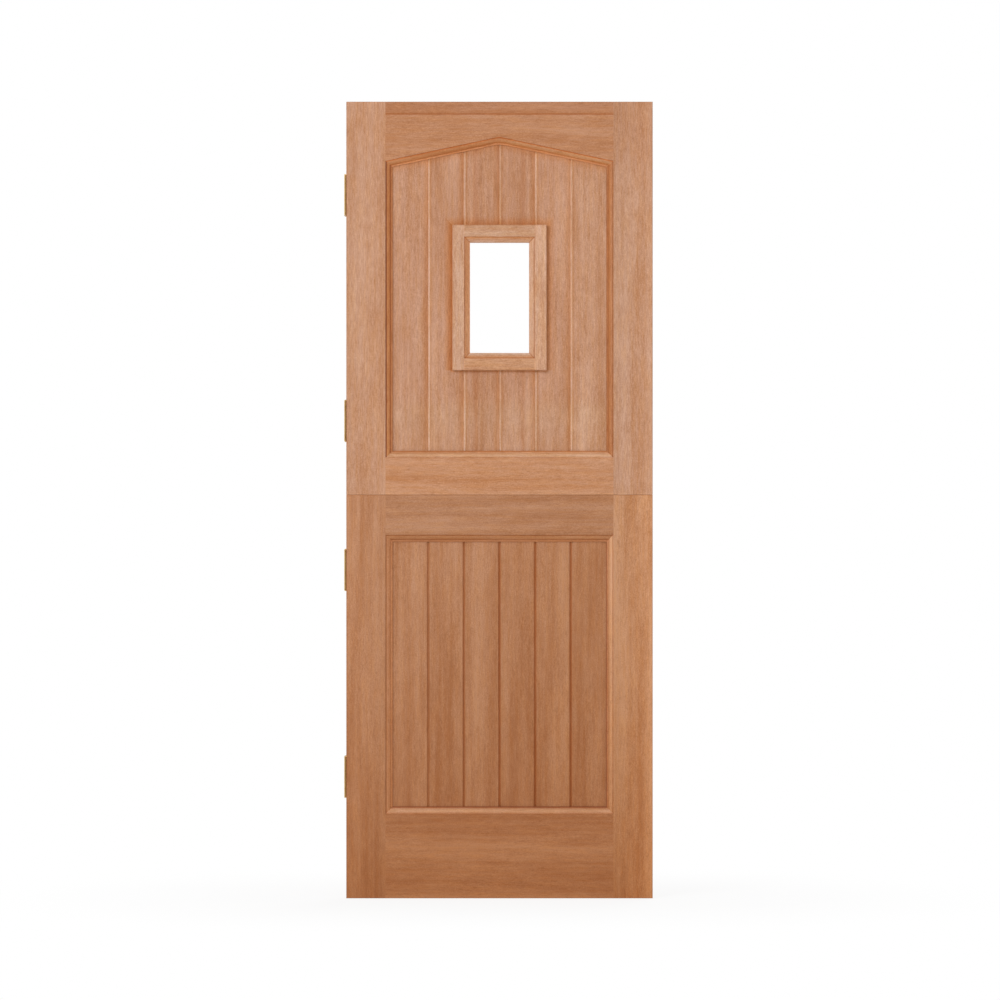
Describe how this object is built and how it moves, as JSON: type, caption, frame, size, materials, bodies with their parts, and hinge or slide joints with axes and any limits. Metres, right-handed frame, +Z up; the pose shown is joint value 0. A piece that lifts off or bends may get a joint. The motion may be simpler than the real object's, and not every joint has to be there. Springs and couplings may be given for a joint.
{
  "type": "stable door",
  "caption": "Timber stable door in two hinged leaves, with vee-jointed boards in moulded framing, a shallow arched head rail and a small open light in the upper leaf.",
  "frame": {"origin": "middle of the leaves' width and thickness, at the foot of the lower leaf", "axes": "+X to the right seen from the front, +Y from the front of the door to its back, +Z up"},
  "size_m": [0.7687, 0.0555, 1.981],
  "materials": {
    "upper_timber": "satin",
    "lower_timber": "satin",
    "light_timber": "satin",
    "wedge_timber": "satin",
    "hinge_brass": "satin"
  },
  "bodies": {
    "hinge_plates": {"upper_top_hinge_frame_plate": "hinge_brass", "upper_bottom_hinge_frame_plate": "hinge_brass", "lower_top_hinge_frame_plate": "hinge_brass", "lower_bottom_hinge_frame_plate": "hinge_brass", "upper_top_hinge_pin": "hinge_brass", "upper_bottom_hinge_pin": "hinge_brass", "lower_top_hinge_pin": "hinge_brass", "lower_bottom_hinge_pin": "hinge_brass"},
    "lower_leaf": {"lower_hanging_stile": "lower_timber", "lower_closing_stile": "lower_timber", "lower_meeting_rail": "lower_timber", "lower_bottom_rail": "lower_timber", "lower_tenon_wedges": "wedge_timber", "lower_board_1": "lower_timber", "lower_board_2": "lower_timber", "lower_board_3": "lower_timber", "lower_board_4": "lower_timber", "lower_board_5": "lower_timber", "lower_board_6": "lower_timber", "lower_top_hinge_leaf_plate": "hinge_brass", "lower_bottom_hinge_leaf_plate": "hinge_brass", "lower_hinge_screws": "hinge_brass"},
    "upper_leaf": {"upper_hanging_stile": "upper_timber", "upper_closing_stile": "upper_timber", "upper_arched_top_rail": "upper_timber", "upper_head_strip": "upper_timber", "upper_meeting_rail": "upper_timber", "upper_tenon_wedges": "wedge_timber", "upper_board_1": "upper_timber", "upper_board_2": "upper_timber", "upper_board_3_above_light": "upper_timber", "upper_board_3_below_light": "upper_timber", "upper_board_4_above_light": "upper_timber", "upper_board_4_below_light": "upper_timber", "upper_board_5": "upper_timber", "upper_board_6": "upper_timber", "light_frame_front_left": "light_timber", "light_frame_front_right": "light_timber", "light_frame_front_head": "light_timber", "light_frame_front_sill": "light_timber", "light_frame_back_left": "light_timber", "light_frame_back_right": "light_timber", "light_frame_back_head": "light_timber", "light_frame_back_sill": "light_timber", "glazing_bead_left": "light_timber", "glazing_bead_right": "light_timber", "glazing_bead_top": "light_timber", "glazing_bead_bottom": "light_timber", "upper_top_hinge_leaf_plate": "hinge_brass", "upper_bottom_hinge_leaf_plate": "hinge_brass", "upper_hinge_screws": "hinge_brass"}
  },
  "joints": [
    {"name": "lower_leaf_swing", "type": "hinge", "parent": "hinge_plates", "child": "lower_leaf", "pos_m": [-0.38225, 0.028, 0.559], "axis": [0, 0, 1], "range_deg": [0, 90]},
    {"name": "upper_leaf_swing", "type": "hinge", "parent": "lower_leaf", "child": "upper_leaf", "pos_m": [-0.38225, 0.028, 1.4705], "axis": [0, 0, 1], "range_deg": [0, 90]}
  ]
}
